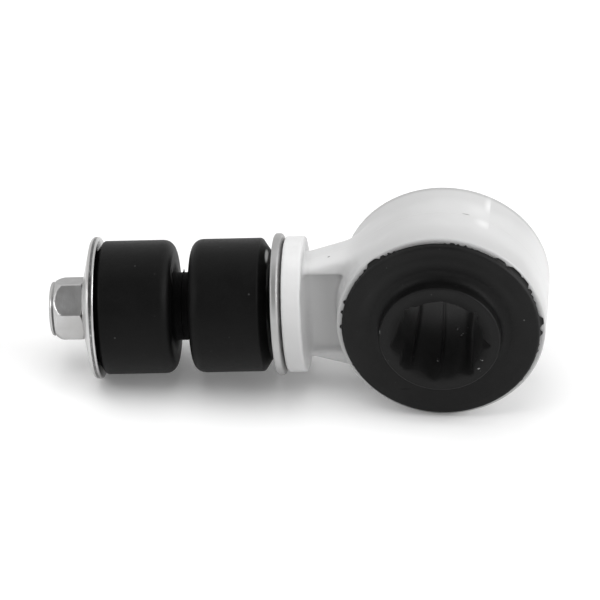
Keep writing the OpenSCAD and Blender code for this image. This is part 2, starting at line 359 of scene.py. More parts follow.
def make_nylon():
    """The link's own nylon, with painted shade on its thin places, painted highlights and scratches."""
    finish = Finish("milky_nylon", {"Subsurface Weight": 0.5, "Subsurface Scale": 0.003,
                                    "Subsurface Radius": (1.0, 1.0, 1.0), "IOR": 1.53})
    cloud = finish.noise(75.0, 4.0)
    streak = finish.noise(85.0, 2.0, 0.45, finish.stretched((0.9, 1.3, 0.9))).ramp(0.35, 0.66)
    grain = finish.noise(1400.0, 4.0, 0.65)
    scuff = finish.noise(500.0, 6.0, 0.7, finish.stretched((1.0, 6.0, 1.0)))
    parting = 1 - abs(finish.y).ramp(*PARTING_LINE)
    from_eye = finish.off_axis(ROUND_EYE)
    edge = abs(finish.y).ramp(0.003, 0.0115)
    # Painted shade: the ring greys towards its faces, and its right side is left lighter, as if lit from
    # the right.
    ring = (0.65 + streak * 0.4 + edge * 0.8) * (1 - finish.x.ramp(*RING_RIGHT) * 0.8)
    ring = ring * (1 - from_eye.ramp(*RING_FADE))
    # Painted shade in the arm's web, with a weaker share over the arm and ring right of the flange.
    in_panel = (1 - abs(finish.y).ramp(*WEB_WIDTH)) * (1 - abs(finish.z).ramp(*WEB_HEIGHT))
    web_and_arm_shade = in_panel * finish.x.ramp(*WEB_START) * (1 - finish.x.ramp(*WEB_END))
    web_and_arm_shade = web_and_arm_shade + finish.x.ramp(*FLANGE_FOOT) * 0.35
    thin_wall_shade = ring + web_and_arm_shade * (1 - ring)
    # Painted highlights: pale patches on top of the ring, the first cut off sharp like a lamp's
    # reflection.
    marks = [finish.near(spot, reach, 0.0) for spot, reach in HIGHLIGHT_PATCHES]
    painted_highlight = marks[0] + marks[1] * 0.8 + marks[2] * 0.3
    painted_highlight = painted_highlight * (1 - finish.x.ramp(HIGHLIGHT_EDGE - 0.0001, HIGHLIGHT_EDGE + 0.0002))
    # Painted shade on the ring: its front half is greyer, and its far edge darker where it turns from the
    # light.
    on_ring = 1 - from_eye.ramp(*RING_END)
    front_shade = on_ring * (finish.y * -1).ramp(*FRONT_EDGE)
    back_shade = on_ring * finish.y.ramp(*BACK_EDGE)
    colour = finish.mix(cloud.ramp(0.3, 0.7), grey(MELT_GREYS[0]), grey(MELT_GREYS[1]))
    colour = finish.mix(thin_wall_shade, colour, grey(THIN_WALL_SHADE_GREY))
    colour = finish.mix(front_shade * 0.5, colour, grey(FRONT_SHADE_GREY))
    colour = finish.mix(back_shade * 0.8, colour, grey(BACK_SHADE_GREY))
    colour = finish.mix(painted_highlight * 0.6, colour, grey(HIGHLIGHT_GREY))
    colour = finish.mix(finish.specks(260.0, 0.1, 0.03), colour, grey(SPECK_GREY))
    for spot, reach in DARK_MARKS:
        colour = finish.mix(finish.near(spot, reach), colour, grey(MARK_GREY))
    finish.feed(Base_Color=colour,
                Roughness=0.3 + cloud * 0.12 + scuff.ramp(0.5, 0.75) * 0.12,
                Normal=finish.bump(grain * 0.3 + cloud * 4.0 + parting * 0.8, 0.00005))
    return finish.material


nylon = make_nylon()
print(nylon.name, "has", len(nylon.node_tree.nodes), "nodes")

# %% [markdown]
# Moulded rubber is near black with a satin skin. What tells it from plastic is the fine grain of the
# mould, a dull bloom in patches and a little pale dust, which sits in dots. The grommets are clean and
# dark, with a painted highlight on each, and painted shade at the neck. The bush is duller, with a small
# tear and pale flecks that are partly crumbs and partly painted glints. On the bush, painted shade
# darkens the root of its collar and painted light brightens the upper part of its dish. Its bore is
# rubbed smooth towards the far end, which catches light from behind, and that light is painted into its
# colour too.

# %% Rubber
CRUMBS_AND_GLINTS = ((-13.6, -16.2, 2.4), (-12.4, -16.2, -5.4), (9.3, -16.2, -5.4), (8.4, -16.2, -8.3),
          (11.5, -10.4, 10.4), (-1.3, -9.4, -9.7), (2.6, 2.6, -9.4), (3.7, -0.3, -9.1))
CRUMB_AND_GLINT_REACH = (0.5, 0.9, 0.6)
TEAR = ((-9.1, -12.2, -15.75), (1.6, 1.5, 0.3))
DUST_GREY = 0.12
CRUMB_AND_GLINT_GREY = 0.6
DEEP_GREY = 0.0005
DISH_LIGHT_GREY = 0.013
BORE_LIGHT_GREY = 0.025
NECK_SHADE_GREY = 0.0008
BORE_EDGE = (0.0100, 0.0125)
BORE_FAR = (-0.002, 0.012)
BORE_RIGHT = (-0.001, 0.003)
COLLAR_ROOT = 0.0146
DISH_MIDDLE = 0.0172
NECK_EDGE = (0.0082, 0.0105)
PAST_THE_EYE = (0.030, 0.035)
PAINTED_GLINTS = (((-39.6, 0.8, 12.9), (0.5, 3.6, 1.9), 0.6), ((-61.2, -3.1, 9.8), (0.6, 0.7, 2.6), 0.1))


def make_rubber(name, dark, pale, shine, dusty, marked):
    """Rubber between a dark and a pale grey; the bush is marked, and the grommets get painted highlights.
    """
    finish = Finish(name, {"IOR": 1.5, "Specular IOR Level": shine})
    grain = finish.noise(2600.0, 4.0, 0.7)
    bloom = finish.noise(140.0, 5.0, 0.6)
    dust = finish.specks(420.0, 0.12, 0.06) + finish.specks(900.0, 0.14, 0.04) * 0.6
    from_eye = finish.off_axis(ROUND_EYE)
    from_stud = finish.off_axis(ROUND_STUD)
    bore = 1 - from_eye.ramp(*BORE_EDGE)
    neck = (1 - from_stud.ramp(*NECK_EDGE)) * from_eye.ramp(*PAST_THE_EYE)
    colour = finish.mix(bloom.ramp(0.35, 0.75), grey(dark), grey(pale))
    colour = finish.mix(dust * dusty, colour, grey(DUST_GREY))
    if marked:
        # Pale flecks on the bush: partly crumbs, partly painted glints.
        for spot in CRUMBS_AND_GLINTS:
            crumb_and_glint = finish.near(spot, CRUMB_AND_GLINT_REACH) * finish.noise(1500.0).ramp(0.48, 0.56)
            colour = finish.mix(crumb_and_glint, colour, grey(CRUMB_AND_GLINT_GREY))
        # Painted shade in the crease round the collar's root.
        collar_root_shade = 1 - abs(from_eye - COLLAR_ROOT).ramp(0.0004, 0.0018)
        colour = finish.mix(collar_root_shade * 0.6, colour, grey(DEEP_GREY))
        # Painted light: the upper half of the dish is drawn paler.
        dish_top_light = (1 - abs(from_eye - DISH_MIDDLE).ramp(0.0006, 0.0026)) * finish.z.ramp(0.0, 0.012)
        colour = finish.mix(dish_top_light, colour, grey(DISH_LIGHT_GREY))
        # Painted light: the bore is paler towards its far end and left, where light comes in from behind.
        far_left_light = finish.y.ramp(*BORE_FAR) * (1 - finish.x.ramp(*BORE_RIGHT) * 0.6)
        colour = finish.mix(bore * far_left_light, colour, grey(BORE_LIGHT_GREY))
        colour = finish.mix(finish.near(*TEAR), colour, grey(DEEP_GREY))
    else:
        # Painted highlights: a pale glint on the inner grommet's taper and one near the outer grommet's
        # neck.
        for spot, reach, level in PAINTED_GLINTS:
            colour = finish.mix(finish.near(spot, reach), colour, grey(level))
    hidden = bore * (0.3 - finish.y.ramp(-0.004, 0.012) * 0.22) + neck * 0.25
    # Painted shade darkens the grommets' necks, where the two meet.
    finish.feed(Base_Color=finish.mix(neck * 0.6, colour, grey(NECK_SHADE_GREY)),
                Roughness=0.38 + bloom * 0.14 + grain * 0.08 + hidden,
                Normal=finish.bump(grain + bloom * 1.5, 0.00006))
    return finish.material


grommet_rubber = make_rubber("grommet_rubber", 0.001, 0.0025, 0.13, 0.3, False)
bush_rubber = make_rubber("bush_rubber", 0.004, 0.008, 0.18, 0.7, True)
print(bush_rubber.name, "has", len(bush_rubber.node_tree.nodes), "nodes")

# %% [markdown]
# The nut and washers are zinc plated: a bright, slightly milky metal. Tumbling in the plating drum
# leaves soft dents and fine scratches, so the mirror image in it is broken up but still clear. The
# washers are a little brighter than the nut and stud, so there are two of this finish. A washer is
# punched from sheet, and the line where its rim tore is a dull band in the colour. Near the flange,
# where the inner washer sits, the zinc is drawn darker and rougher, and painted shade darkens the groove
# behind the nut's rolled collar at mid height.

# %% Zinc plate and the nut's locking nylon
TEAR_PLACE = 0.07915
TEAR_GREY = 0.12
WASHER_EDGE = (0.0158, 0.016)
COLLAR_GROOVE = 0.08905
COLLAR_GROOVE_SHADE_GREY = 0.04
INNER_WASHER_FROM = (-0.05, -0.045)
INNER_WASHER_GREY = 0.1


def make_zinc(name, level, tint):
    """Zinc of a light level; the tint is how bright it stays where it is seen at a grazing angle."""
    finish = Finish(name, {"Metallic": 1.0, "Specular Tint": grey(tint)})
    dents = finish.noise(330.0, 3.0)
    scratches = finish.noise(900.0, 5.0, 0.75, finish.stretched((4.0, 1.0, 1.0)))
    stain = finish.noise(120.0, 4.0)
    on_rim = finish.off_axis(ROUND_STUD).ramp(*WASHER_EDGE)
    tear = (1 - abs(finish.x + TEAR_PLACE).ramp(0.0002, 0.0004)) * on_rim
    colour = finish.mix(stain.ramp(0.35, 0.7), grey(level * 0.9, 0.01), grey(level * 1.1))
    colour = finish.mix(tear * scratches.ramp(0.25, 0.5), colour, grey(TEAR_GREY))
    # Painted shade in the groove behind the nut's collar, in a band at mid height.
    groove_shade = 1 - abs(finish.x + COLLAR_GROOVE).ramp(0.00012, 0.00035)
    groove_shade = groove_shade * (1 - abs(finish.z).ramp(0.0015, 0.0050))
    colour = finish.mix(groove_shade * 0.75, colour, grey(COLLAR_GROOVE_SHADE_GREY))
    # Near the flange, where the inner washer sits, the zinc is drawn darker and rougher.
    inner_washer_share = finish.x.ramp(*INNER_WASHER_FROM)
    colour = finish.mix(inner_washer_share * 0.25, colour, grey(INNER_WASHER_GREY))
    finish.feed(Base_Color=colour,
                Roughness=0.2 + stain * 0.1 + scratches * 0.12 + inner_washer_share * 0.16,
                Normal=finish.bump(dents * 1.2 + scratches * 0.25, 0.00008))
    return finish.material


def make_locking_nylon():
    """Plain, denser nylon, as it is used for the ring that grips the thread."""
    finish = Finish("locking_nylon", {"Subsurface Weight": 0.2, "Subsurface Scale": 0.001})
    cloud = finish.noise(400.0, 3.0)
    finish.feed(Base_Color=finish.mix(cloud, grey(0.66), grey(0.78)), Roughness=0.35 + cloud * 0.2)
    return finish.material


washer_zinc = make_zinc("washer_zinc", 0.53, 0.95)
nut_zinc = make_zinc("nut_zinc", 0.48, 0.6)
locking_nylon = make_locking_nylon()
print(washer_zinc.name, "has", len(washer_zinc.node_tree.nodes), "nodes")

# %% [markdown]
# The link is one moulding: ring, arm and flange run into each other in fillets. A Boolean union
# would leave sharp seams there and a bevel on such seams often fails. So the moulding is written as
# a distance field, a formula that is negative inside, where soft minimum and maximum round the
# joins and edges.

# %% Field of the link body
EYE_WIDTH = 22.0
EYE_BORE = 20.5
EYE_DRAFT = 0.06
ARM_HALF_WIDTH = 4.6
WEB_HALF_WIDTH = 2.6
ARM_HALF_AT_FLANGE = 11.8
ARM_SLOPE = 0.31
FLANGE_THICKNESS = 4.5
PANEL_HALF_HEIGHT = 10.4
PANEL_START = -31.1
STUD_RADIUS = 4.0
HUB_RADIUS = 8.0
WASHER_RADIUS = 16.2
WASHER_DISH = 2.0
SEAT_FLOOR = 34.4
STUD_HOLE_DEPTH = 2.0
ARM_INTO_FLANGE = 1.0
PANEL_OFF_RING = 0.4
EDGE_ROUNDING = 0.6
ARM_ROUNDING = 2.2
FLANGE_FILLET = 1.5
RING_FILLET = 2.6
PANEL_FLOOR_FILLET = 2.4
PANEL_SIDE_FILLET = 0.9
PANEL_RING_FILLET = 1.0
PANEL_EDGE_ROUNDING = 0.7
SEAT_ROUNDING = 0.3


def soft_min(first, second, blend):
    """The smaller of two fields, with the crease where they cross rounded over a blend."""
    share = np.clip(0.5 + 0.5 * (second - first) / blend, 0, 1)
    return second + (first - second) * share - blend * share * (1 - share)


def soft_max(first, second, blend):
    """The larger of two fields, rounded in the same way."""
    return -soft_min(-first, -second, blend)


def link_field(x, y, z):
    """Signed distance, about, to the skin of the link body, in millimetres."""
    flange_back = flange_face + FLANGE_THICKNESS
    from_eye = np.hypot(x, z)
    from_stud = np.hypot(y, z)
    bore = EYE_BORE - from_eye
    outside = from_eye - (eye_radius - EYE_DRAFT * np.abs(y) / (EYE_WIDTH / 2))
    ring = soft_max(outside, np.abs(y) - EYE_WIDTH / 2, EDGE_ROUNDING)
    ring = soft_max(ring, bore, EDGE_ROUNDING)

    half_height = ARM_HALF_AT_FLANGE + ARM_SLOPE * (x - flange_back)
    arm = soft_max(np.abs(y) - ARM_HALF_WIDTH, np.abs(z) - half_height, ARM_ROUNDING)
    arm = np.maximum(arm, np.maximum(flange_face + ARM_INTO_FLANGE - x, x + eye_radius / 2))

    middle = flange_face + FLANGE_THICKNESS / 2
    half_thickness = FLANGE_THICKNESS / 2
    flange = soft_max(from_stud - flange_radius, np.abs(x - middle) - half_thickness, EDGE_ROUNDING)

    body = soft_min(soft_min(arm, flange, FLANGE_FILLET), ring, RING_FILLET)
    panel = soft_max(PANEL_START - x, WEB_HALF_WIDTH - np.abs(y), PANEL_FLOOR_FILLET)
    panel = soft_max(panel, np.abs(z) - PANEL_HALF_HEIGHT, PANEL_SIDE_FILLET)
    panel = soft_max(panel, eye_radius + PANEL_OFF_RING - from_eye, PANEL_RING_FILLET)
    body = soft_max(soft_max(body, -panel, PANEL_EDGE_ROUNDING), bore, EDGE_ROUNDING)
    slope = WASHER_DISH / (WASHER_RADIUS - HUB_RADIUS)
    seat = SEAT_FLOOR + slope * np.maximum(from_stud - HUB_RADIUS, 0) + x
    stud_hole = np.maximum(from_stud - STUD_RADIUS, x + SEAT_FLOOR - STUD_HOLE_DEPTH)
    return np.maximum(soft_max(body, -seat, SEAT_ROUNDING), -stud_hole)


print("field in the ring's wall", link_field(0.0, 0.0, 22.0), "and in the eye", link_field(0.0, 0.0, 0.0))

# %% [markdown]
# To find the skin, the field is sampled on a grid. Each cell that the skin passes gets one point, the
# mean of the places where the skin cuts the cell's edges, and each cut edge of the grid gets a quad
# between the four cells round it. The points then slide along the field's slope onto its zero level,
# which makes flat faces flat and keeps fillets even.

# %% Surface of the link body
GRID_STEP = 0.42
SETTLE_ROUNDS = 4
PROBE = 0.02
LEAST_STEEPNESS = 0.25


def surface_of(field, low, high, step):
    """Points and quads where a field crosses zero: one point in each cell that the skin passes."""
    axes = [np.arange(low[i] - 2 * step, high[i] + 3 * step, step) for i in range(3)]
    values = field(*np.meshgrid(*axes, indexing="ij"))
    inside = values < 0
    shape = tuple(n - 1 for n in values.shape)
    total, crossings = np.zeros(shape + (3,)), np.zeros(shape)

    def corner(array, offset):
        return array[tuple(slice(offset[i], offset[i] + shape[i]) for i in range(3))]

    for axis in range(3):
        for a in (0, 1):
            for b in (0, 1):
                near = np.insert(np.array([a, b]), axis, 0)
                far = np.insert(np.array([a, b]), axis, 1)
                first, second = corner(values, near), corner(values, far)
                cut = (first < 0) != (second < 0)
                share = np.where(cut, first / np.where(cut, first - second, 1), 0)
                total += cut[..., None] * (near + share[..., None] * (far - near))
                crossings += cut
    used = crossings > 0
    index = np.full(shape, -1)
    index[used] = np.arange(used.sum())
    cell = np.argwhere(used)
    origin = np.array([axes[i][0] for i in range(3)])
    points = origin + step * (cell + total[used] / crossings[used][:, None])

    quads = []
    for axis in range(3):
        b, c = (axis + 1) % 3, (axis + 2) % 3
        flips = np.argwhere(np.diff(inside, axis=axis))
        flips = flips[(flips[:, b] > 0) & (flips[:, c] > 0)]
        ring = []
        for back_b, back_c in ((0, 0), (1, 0), (1, 1), (0, 1)):
            spot = flips.copy()
            spot[:, b] -= back_b
            spot[:, c] -= back_c
            ring.append(index[tuple(spot.T)])
        quads.append(np.stack(ring, axis=1))
    return settle(field, points), np.concatenate(quads)


def settle(field, points):
    """Slides points along the field's slope onto its zero level."""
    for _ in range(SETTLE_ROUNDS):
        slope = np.empty_like(points)
        for i in range(3):
            shift = np.zeros(3)
            shift[i] = PROBE
            slope[:, i] = (field(*(points + shift).T) - field(*(points - shift).T)) / (2 * PROBE)
        steepness = np.maximum((slope ** 2).sum(axis=1), LEAST_STEEPNESS)
        points = points - (field(*points.T) / steepness)[:, None] * slope
    return points


points, quads = surface_of(link_field, link_low, link_high, GRID_STEP)
dress(mesh_piece("nylon_link", points, quads, nylon), "link", "link_body")

# %% [markdown]
# The bush is rubber, pressed into the eye. Half of its section is written down: a lip over the ring's
# face, a dished face, and a collar that stands out round the bore. The other half is its mirror image.

# %% Section of the eye bush
BUSH_RADIUS = 20.45
BUSH_BORE = 9.75
BUSH_HALF_LENGTH = 16.25
LIP_RADIUS = 22.5
LIP_SEAT = 11.1
LIP_FACE = 12.6
COLLAR_RADIUS = 13.7
DISH_FLOOR = 11.7

bush_corners = with_mirror([
    (BUSH_RADIUS, LIP_SEAT, 0.1),
    (LIP_RADIUS, LIP_SEAT, 0.1),
    (LIP_RADIUS, LIP_FACE, 1.1),
    (LIP_RADIUS - 2.0, LIP_FACE, 0.8),
    (COLLAR_RADIUS, DISH_FLOOR, 2.2),
    (COLLAR_RADIUS, BUSH_HALF_LENGTH, 0.4),
    (BUSH_BORE, BUSH_HALF_LENGTH, 0.8),
])
print("the bush is", 2 * BUSH_HALF_LENGTH, "wide and its section has", len(bush_corners), "corners")

# %% [markdown]
# The bush is the same all round, apart from two things: grooves run along the bore, wider where they
# leave its front mouth, and the lip ends in flash, a ragged skirt of rubber that squeezed out between
# the halves of its mould. All of these are pushes on the swung grid that depend on the angle. Places
# are in degrees round the eye, and depths, widths and reaches in millimetres.

# %% Eye bush
COLLAR_SKIN = 0.6
BUSH_COLUMNS = 600
BUSH_SIDE_STEP = 2.2
GROOVES = ((37, 1.0, 0.7), (86, 0.2, 0.8), (130, 1.0, 0.7), (181, 0.8, 0.9),
           (229, 0.75, 0.36), (265, 0.45, 0.36), (304, 1.6, 0.8), (351, 1.3, 0.9))
GROOVE_WANDER = 2.0
WANDER_TURN = 2.2
WANDER_PHASE = 1.7
MOUTH_NOTCHES = ((38, 1.2, 0.8), (126, 0.8, 0.8), (190, 1.6, 2.0), (219, 2.0, 1.7),
                 (258, 1.4, 1.9), (277, 0.8, 1.6), (305, 2.0, 1.4), (350, 1.7, 0.9))
MOUTH_LENGTH = 8.0
FAR_LIP_SHORT = 0.12
FAR_LIP_BAND = 0.8
FLASH_RISE = 0.45
FLASH_BAND = 0.5
FLASH_SIDES = ((-1, 11, 0.5), (1, 23, 0.12))
PATCH_WAVES = (2, 9)
RAG_WAVES = (14, 110)
FLASH_TABS = ((129, 2.2, 0.9), (122, 0.7, 0.6), (3, 1.5, 0.95), (-5, 0.7, 0.6), (50, 1.8, 0.6),
              (39, 2.6, 0.95), (31, 2.0, 0.9), (24, 0.8, 0.6), (161, 0.6, 0.5), (168, 0.5, 0.5),
              (178, 0.6, 0.55), (205, 0.7, 0.45), (320, 0.8, 0.45), (80, 0.8, 0.4))


def waves(angle, seed, lowest, highest):
    """A seeded wobble round a circle, between about -1 and 1, that closes on itself."""
    draw = np.random.default_rng(seed)
    total = np.zeros_like(angle)
    for count in range(lowest, highest + 1):
        total += draw.normal() * np.cos(count * angle + draw.uniform(0, 2 * math.pi))
    return total / np.abs(total).max()


def aside(angle, degrees, radius):
    """How far each angle of a circle lies from one place on it, along the circle."""
    return np.abs((angle - np.radians(degrees) + math.pi) % (2 * math.pi) - math.pi) * radius


def bell(angle, degrees, radius, width):
    """A smooth bump round one place on a circle: 1 at the place, fading over its width."""
    return np.exp(-(aside(angle, degrees, radius) / width) ** 2)


def make_bush():
    """The bush's section swung round the eye, with grooves in its bore and flash on its lips."""
    angle = around(BUSH_COLUMNS)
    radius, height = spread(section(bush_corners, BUSH_SIDE_STEP), BUSH_COLUMNS)
    groove = np.zeros_like(angle)
    along = WANDER_TURN * height / BUSH_HALF_LENGTH
    for phase, (place, depth, width) in enumerate(GROOVES):
        place = place + GROOVE_WANDER * np.sin(along + WANDER_PHASE * phase)
        groove = groove + depth * bell(angle, place, BUSH_BORE, width)
    mouth = np.clip(1 - (height + BUSH_HALF_LENGTH) / MOUTH_LENGTH, 0, 1)
    for place, depth, width in MOUTH_NOTCHES:
        groove = np.maximum(groove, mouth * (depth * bell(angle, place, BUSH_BORE, width)))
    skin = COLLAR_RADIUS - COLLAR_SKIN
    radius += np.clip((skin - radius) / (skin - BUSH_BORE), 0, 1) * groove

    for side, seed, most in FLASH_SIDES:
        patch = np.clip(waves(angle, seed, *PATCH_WAVES) * 1.5 + 0.3, 0, 1)
        ragged = most * patch * np.clip(waves(angle, seed + 1, *RAG_WAVES) * 2, 0, 1)
        for place, width, reach in FLASH_TABS if side < 0 else ():
            tab = np.clip(2 - 2 * aside(angle, place, LIP_RADIUS) / width, 0, 1)
            ragged = np.maximum(ragged, reach * tab)
        rise = (height * side - LIP_SEAT) / FLASH_RISE
        on_lip = (radius > LIP_RADIUS - FLASH_BAND) & (rise > -0.05)
        radius += np.where(on_lip, np.clip(1 - rise, 0, 1), 0) * ragged
    on_far_lip = (height > LIP_SEAT - 0.01) & (radius > LIP_RADIUS - FAR_LIP_BAND)
    radius -= np.where(on_far_lip, FAR_LIP_SHORT, 0)
    return swung("rubber_eye_bush", radius, height, "eye", bush_rubber)


dress(make_bush(), "eye_bush", "eye_bush")

# %% [markdown]
# The washers were punched from sheet and pressed to a shallow dish. The punch leaves one edge of the
# rim rounder than the other. Both washers are the same piece, turned to face each other.

# %% Dished washers
WASHER_SHEET = 1.8
WASHER_HOLE = 4.25
outer_rim = -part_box("outer_washer")[1].x / MM
inner_rim = -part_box("inner_washer")[0].x / MM


def washer_corners(rim, way):
    """A dished washer: rim plane at one place along the stud, hub bulging the given way."""
    def at(radius, rise, rounding):
        return radius, rim + way * rise, rounding

    return [
        at(WASHER_HOLE, WASHER_DISH, 0.2),
        at(HUB_RADIUS, WASHER_DISH, 1.5),
        at(WASHER_RADIUS, 0, 0.45),
        at(WASHER_RADIUS, WASHER_SHEET, 0.7),
        at(HUB_RADIUS, WASHER_DISH + WASHER_SHEET, 2.0),
        at(WASHER_HOLE, WASHER_DISH + WASHER_SHEET, 0.3),
    ]


for node_name, rim, way in (("outer_washer", outer_rim, 1), ("inner_washer", inner_rim, -1)):
    washer = turned("dished_" + node_name, washer_corners(rim, way), "stud", washer_zinc)
    dress(washer, node_name, node_name)

# %% [markdown]
# The grommets are two of a kind: solid rubber with rounded shoulders, a tapered end for the washer's
# dish, and a neck that meets the other one's neck in the groove where the suspension arm's plate sits.
# A tag of rubber that was left in the mould's seam stands up from one neck.

# %% Grommets
GROMMET_RADIUS = 15.25
GROMMET_LENGTH = 16.1
TAPER_RADIUS = 12.5
TAPER_LENGTH = 1.8
NECK_RADIUS = 7.75
NECK_LENGTH = 1.95
NECK_MARGIN = 0.1
NECK_TABS = ((57, 0.8, 0.9), (66, 0.5, 0.5))


def grommet_corners(end_face, way):
    """A grommet from its flat end to its neck; the end faces the given way along the stud."""
    def at(radius, depth, rounding):
        return radius, end_face - way * depth, rounding

    shoulder = TAPER_LENGTH + GROMMET_LENGTH
    return [
        at(WASHER_HOLE, 0, 0.3),
        at(TAPER_RADIUS, 0, 0.5),
        at(GROMMET_RADIUS, TAPER_LENGTH, 0.9),
        at(GROMMET_RADIUS, shoulder, 2.6),
        at(NECK_RADIUS, shoulder, 0.8),
        at(NECK_RADIUS, shoulder + NECK_LENGTH, 0.04),
        at(WASHER_HOLE, shoulder + NECK_LENGTH, 0.3),
    ]


def make_grommet(name, end_face, way):
    """A grommet; the outer one has the tag on its neck."""
    angle = around(COLUMNS)
    radius, height = spread(section(grommet_corners(end_face, way)), COLUMNS)
    neck_end = end_face - way * (TAPER_LENGTH + GROMMET_LENGTH + NECK_LENGTH)
    rim = (radius > NECK_RADIUS - NECK_MARGIN) & (np.abs(height - neck_end) < NECK_MARGIN)
    tabs = np.zeros_like(angle)
    for place, width, reach in NECK_TABS if way > 0 else ():
        tabs = np.maximum(tabs, reach * bell(angle, place, NECK_RADIUS, width))
    return swung(name, radius + np.where(rim, tabs, 0), height, "stud", grommet_rubber)


for node_name, end, way in (("outer_grommet", 0, 1), ("inner_grommet", 1, -1)):
    end_face = -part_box(node_name)[end].x / MM
    grommet = make_grommet("rubber_" + node_name, end_face, way)
    dress(grommet, node_name, node_name)

# %% [markdown]
# The lock nut is a hexagon whose corners are cut by a cone at each end, with a collar rolled over a
# nylon ring. It starts as the turned cone and collar, and the grid is then pulled in to the six
# flats, so that the arcs where cone and flats meet come out by themselves.

# %% Lock nut and locking ring
NUT_FLAT = 6.5
NUT_CORNER = 7.45
NUT_HEIGHT = 7.85
HEX_HEIGHT = 6.0
NUT_COLLAR = 6.25
NUT_BORE = 4.05
RING_RADIUS = 5.1
RING_BORE = 3.65
RING_LOW = 5.45
RING_HIGH = 7.5
RING_SLACK = 0.02
NUT_CORNER_ANGLE = math.radians(41.1)
NUT_COLUMNS = 6 * 60
NUT_SIDE_STEP = 0.35
FLAT_ROUNDING = 0.2
nut_seat = -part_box("lock_nut")[1].x / MM
print("nut seat", nut_seat)

nut_corners = [
    (NUT_BORE + 0.5, 0, 0.1),
    (NUT_FLAT + 0.2, 0, 0.15),
    (NUT_CORNER, 0.4, 0.1),
    (NUT_CORNER, HEX_HEIGHT - 1.1, 1.2),
    (NUT_CORNER - 0.4, HEX_HEIGHT - 0.3, 0.8),
    (NUT_COLLAR + 0.15, HEX_HEIGHT + 0.65, 0.1),
    (NUT_COLLAR - 0.25, HEX_HEIGHT + 0.85, 0.08),
    (NUT_COLLAR - 0.05, HEX_HEIGHT + 1.15, 0.1),
    (NUT_COLLAR - 0.15, HEX_HEIGHT + 1.5, 0.3),
    (NUT_COLLAR - 0.65, NUT_HEIGHT - 0.1, 0.3),
    (RING_RADIUS - 0.5, NUT_HEIGHT, 0.2),
    (RING_RADIUS - 0.5, RING_HIGH, 0.1),
    (RING_RADIUS, RING_HIGH, 0.05),
    (RING_RADIUS, RING_LOW, 0.05),
    (NUT_BORE, RING_LOW, 0.1),
    (NUT_BORE, 0.5, 0.1),
]


def make_nut():
    """The turned nut, with its grid pulled in to the six flats."""
    radius, height = spread(section(nut_corners, NUT_SIDE_STEP), NUT_COLUMNS)
    off_flat = (around(NUT_COLUMNS) - NUT_CORNER_ANGLE) % (math.pi / 3) - math.pi / 6
    radius = soft_min(radius, NUT_FLAT / np.cos(off_flat), FLAT_ROUNDING)
    return swung("zinc_lock_nut", radius, height + nut_seat, "stud", nut_zinc)


dress(make_nut(), "lock_nut", "lock_nut")
ring_corners = [
    (RING_BORE, nut_seat + RING_LOW, 0.2),
    (RING_RADIUS - RING_SLACK, nut_seat + RING_LOW, 0.2),
    (RING_RADIUS - RING_SLACK, nut_seat + RING_HIGH, 0.2),
    (RING_BORE, nut_seat + RING_HIGH, 0.5),
]
locking_ring = turned("nylon_locking_ring", ring_corners, "stud", locking_nylon, COLUMNS // 2, 0.4)
dress(locking_ring, "lock_nut", "lock_ring")

# %% [markdown]
# The stud shows only when the nut backs off and the pieces on it spread, but then its thread has to be
# real. A thread is a ridge that follows a helix, so Geometry Nodes sweep a small diamond along a
# spiral. Turns, length, radius, ridge, place and material are inputs of the tree.

# %% Node tree of a thread
STEPS_A_TURN = 40
RIDGE_SIDES = 4


def thread_tree():
    """Geometry Nodes: a ridge of diamond section along a spiral, laid along the stud."""
    tree = bpy.data.node_groups.new("thread_ridge", "GeometryNodeTree")
    tree.interface.new_socket("Geometry", in_out="OUTPUT", socket_type="NodeSocketGeometry")
    for name in ("Turns", "Length", "Radius", "Ridge"):
        tree.interface.new_socket(name, in_out="INPUT", socket_type="NodeSocketFloat")
    tree.interface.new_socket("Start", in_out="INPUT", socket_type="NodeSocketVector")
    tree.interface.new_socket("Material", in_out="INPUT", socket_type="NodeSocketMaterial")
    start = tree.nodes.new("NodeGroupInput")
    end = tree.nodes.new("NodeGroupOutput")
    spiral = tree.nodes.new("GeometryNodeCurveSpiral")
    spiral.inputs["Resolution"].default_value = STEPS_A_TURN
    upright = tree.nodes.new("GeometryNodeSetCurveNormal")
    upright.mode = "Z_UP"
    diamond = tree.nodes.new("GeometryNodeCurvePrimitiveCircle")
    diamond.inputs["Resolution"].default_value = RIDGE_SIDES
    sweep = tree.nodes.new("GeometryNodeCurveToMesh")
    sweep.inputs["Fill Caps"].default_value = True
    lay = tree.nodes.new("GeometryNodeTransform")
    lay.inputs["Rotation"].default_value = (0, -math.pi / 2, 0)
    realize = tree.nodes.new("GeometryNodeRealizeInstances")
    paint = tree.nodes.new("GeometryNodeSetMaterial")
    for source, target in (
        (start.outputs["Turns"], spiral.inputs["Rotations"]),
        (start.outputs["Length"], spiral.inputs["Height"]),
        (start.outputs["Radius"], spiral.inputs["Start Radius"]),
        (start.outputs["Radius"], spiral.inputs["End Radius"]),
        (start.outputs["Ridge"], diamond.inputs["Radius"]),
        (spiral.outputs["Curve"], upright.inputs["Curve"]),
        (upright.outputs["Curve"], sweep.inputs["Curve"]),
        (diamond.outputs["Curve"], sweep.inputs["Profile Curve"]),
        (sweep.outputs["Mesh"], lay.inputs["Geometry"]),
        (start.outputs["Start"], lay.inputs["Translation"]),
        (lay.outputs["Geometry"], realize.inputs["Geometry"]),
        (realize.outputs["Geometry"], paint.inputs["Geometry"]),
        (start.outputs["Material"], paint.inputs["Material"]),
        (paint.outputs["Geometry"], end.inputs["Geometry"]),
    ):
        tree.links.new(source, target)
    return tree


ridge_tree = thread_tree()
print(ridge_tree.name, "has", len(ridge_tree.nodes), "nodes")

# %% [markdown]
# The tree runs on an empty mesh. What it makes is kept as a plain mesh, and the empty one is removed.

